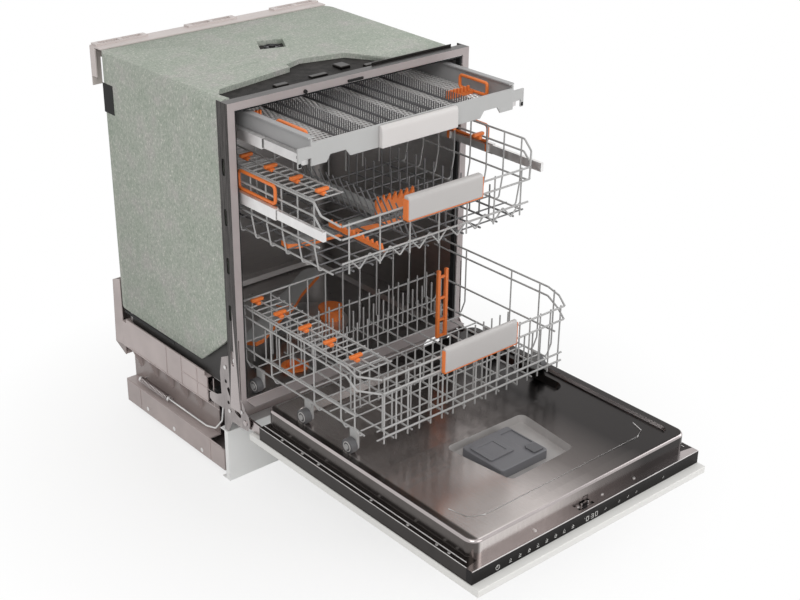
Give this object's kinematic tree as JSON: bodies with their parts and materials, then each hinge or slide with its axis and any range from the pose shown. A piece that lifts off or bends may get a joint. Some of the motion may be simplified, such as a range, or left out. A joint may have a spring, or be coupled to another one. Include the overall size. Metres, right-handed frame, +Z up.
{
  "type": "dishwasher",
  "caption": "Fully integrated built-in dishwasher shown without side panels, door folded down, with two wire baskets and a cutlery tray drawn out on their rails",
  "frame": {"origin": "on the floor under the plinth, on the centre line, 60 mm behind the front frame's face", "axes": "X right seen from the front, Y towards the back wall, Z up"},
  "size_m": [0.6, 1.19, 0.83],
  "materials": {
    "stainless": "brushed",
    "zinc_steel": "satin",
    "cast_ballast": "rough",
    "rubber_black": "matte",
    "felt_green": "fibrous",
    "plastic_warm_grey": "moulded",
    "panel_board": "white lacquer",
    "panel_white": "satin",
    "panel_black": "gloss",
    "plastic_dark_grey": "moulded",
    "plastic_grey": "satin",
    "plastic_orange": "moulded",
    "wire_grey": "nylon coated"
  },
  "bodies": {
    "cabinet": {"front_frame": "stainless", "tub_wrapper": "stainless", "tub_rear_wall": "stainless", "tub_floor": "stainless", "tub_seal": "rubber_black", "bitumen_sheet": "rubber_black", "insulation_felt": "felt_green", "fixing_strip": "zinc_steel", "rear_top_rail": "plastic_warm_grey", "base_tray": "plastic_warm_grey", "levelling_feet": "plastic_warm_grey", "ballast_block": "cast_ballast", "plinth": "panel_white", "hinge_plates": "stainless", "door_springs": "zinc_steel", "spring_linkage": "zinc_steel", "sump": "plastic_warm_grey", "filter_plate": "stainless", "water_softener": "plastic_warm_grey", "wash_pump": "plastic_warm_grey", "drain_pump": "plastic_warm_grey", "rear_ports": "plastic_warm_grey", "water_duct": "plastic_warm_grey", "door_liner": "stainless", "door_tray": "zinc_steel", "door_felt": "felt_green", "control_panel": "panel_black", "furniture_panel": "panel_board", "hinge_arms": "stainless", "dispenser_body": "plastic_dark_grey", "fixed_rails": "stainless"},
    "filter": {"filter_cylinder": "plastic_orange"},
    "salt_cap": {"salt_cap": "plastic_orange"},
    "dispenser_lid": {"dispenser_lid": "plastic_dark_grey"},
    "rinse_aid_flap": {"rinse_aid_flap": "plastic_dark_grey"},
    "lower_arm": {"lower_spray_arm": "plastic_grey"},
    "lower_basket": {"lower_basket_walls": "wire_grey", "lower_basket_floor": "wire_grey", "lower_handle": "plastic_grey", "bottle_post": "plastic_orange"},
    "wheels_front": {"basket_wheels_1": "plastic_dark_grey"},
    "wheels_middle": {"basket_wheels_2": "plastic_dark_grey"},
    "wheels_rear": {"basket_wheels_3": "plastic_dark_grey"},
    "lower_fold_front": {"lower_tines_front": "wire_grey"},
    "lower_fold_middle": {"lower_tines_middle": "wire_grey"},
    "lower_shelf": {"lower_cup_shelf": "wire_grey"},
    "upper_basket": {"upper_basket_walls": "wire_grey", "upper_basket_floor": "wire_grey", "upper_handle": "plastic_grey", "upper_fittings": "plastic_orange", "upper_spray_feed": "plastic_grey"},
    "upper_arm": {"upper_spray_arm": "plastic_grey"},
    "upper_fold": {"upper_tines": "wire_grey"},
    "upper_shelf": {"upper_cup_shelf": "wire_grey"},
    "upper_rails": {"upper_middle_rails": "stainless"},
    "cutlery_tray": {"tray_frame": "plastic_grey", "tray_floor": "plastic_grey", "tray_holders": "plastic_orange", "tray_handle": "plastic_grey"},
    "tray_rails": {"tray_middle_rails": "stainless"}
  },
  "joints": [
    {"name": "lower_basket_slide", "type": "slide", "parent": "cabinet", "child": "lower_basket", "axis": [0, 1, 0], "range_m": [0, 0.415]},
    {"name": "upper_basket_slide", "type": "slide", "parent": "cabinet", "child": "upper_basket", "axis": [0, 1, 0], "range_m": [0, 0.307]},
    {"name": "cutlery_tray_slide", "type": "slide", "parent": "cabinet", "child": "cutlery_tray", "axis": [0, 1, 0], "range_m": [0, 0.232]},
    {"name": "upper_rails_slide", "type": "slide", "parent": "cabinet", "child": "upper_rails", "axis": [0, 1, 0], "range_m": [0, 0.1535]},
    {"name": "tray_rails_slide", "type": "slide", "parent": "cabinet", "child": "tray_rails", "axis": [0, 1, 0], "range_m": [0, 0.116]},
    {"name": "wheels_front_roll", "type": "hinge", "parent": "lower_basket", "child": "wheels_front", "pos_m": [0, -0.346, 0.228], "axis": [1, 0, 0], "continuous": true},
    {"name": "wheels_middle_roll", "type": "hinge", "parent": "lower_basket", "child": "wheels_middle", "pos_m": [0, -0.208, 0.228], "axis": [1, 0, 0], "continuous": true},
    {"name": "wheels_rear_roll", "type": "hinge", "parent": "lower_basket", "child": "wheels_rear", "pos_m": [0, -0.05, 0.228], "axis": [1, 0, 0], "continuous": true},
    {"name": "lower_spray_turn", "type": "hinge", "parent": "cabinet", "child": "lower_arm", "pos_m": [-0.01, 0.182, 0.243], "axis": [0, 0, 1], "continuous": true},
    {"name": "upper_spray_turn", "type": "hinge", "parent": "upper_basket", "child": "upper_arm", "pos_m": [0, -0.122, 0.542], "axis": [0, 0, 1], "continuous": true},
    {"name": "filter_turn", "type": "hinge", "parent": "cabinet", "child": "filter", "pos_m": [0.082, 0.129, 0.228], "axis": [0, 0, 1], "range_deg": [0, 90]},
    {"name": "salt_cap_turn", "type": "hinge", "parent": "cabinet", "child": "salt_cap", "pos_m": [-0.128, -0.015, 0.21], "axis": [0, 0, 1], "continuous": true},
    {"name": "dispenser_lid_slide", "type": "slide", "parent": "cabinet", "child": "dispenser_lid", "axis": [1, 0, 0], "range_m": [0, 0.048]},
    {"name": "rinse_aid_flap_hinge", "type": "hinge", "parent": "cabinet", "child": "rinse_aid_flap", "pos_m": [0.019, -0.5465, 0.2183], "axis": [-1, 0, 0], "range_deg": [0, 100]},
    {"name": "lower_tines_front_fold", "type": "hinge", "parent": "lower_basket", "child": "lower_fold_front", "pos_m": [0, -0.384, 0.2618], "axis": [-1, 0, 0], "range_deg": [0, 75]},
    {"name": "lower_tines_middle_fold", "type": "hinge", "parent": "lower_basket", "child": "lower_fold_middle", "pos_m": [0, -0.292, 0.2618], "axis": [-1, 0, 0], "range_deg": [0, 75]},
    {"name": "lower_shelf_fold", "type": "hinge", "parent": "lower_basket", "child": "lower_shelf", "pos_m": [-0.2552, -0.21, 0.4], "axis": [0, -1, 0], "range_deg": [0, 75]},
    {"name": "upper_tines_fold", "type": "hinge", "parent": "upper_basket", "child": "upper_fold", "pos_m": [-0.03, -0.11, 0.5598], "axis": [0, -1, 0], "range_deg": [0, 50]},
    {"name": "upper_shelf_fold", "type": "hinge", "parent": "upper_basket", "child": "upper_shelf", "pos_m": [-0.2552, -0.11, 0.69], "axis": [0, -1, 0], "range_deg": [0, 48]}
  ],
  "couplings": [
    {"joint": "upper_rails_slide", "follows": "upper_basket_slide", "ratio": 0.5},
    {"joint": "tray_rails_slide", "follows": "cutlery_tray_slide", "ratio": 0.5},
    {"joint": "wheels_front_roll", "follows": "lower_basket_slide", "rad_per_m": -66.667},
    {"joint": "wheels_middle_roll", "follows": "lower_basket_slide", "rad_per_m": -66.667},
    {"joint": "wheels_rear_roll", "follows": "lower_basket_slide", "rad_per_m": -66.667}
  ]
}
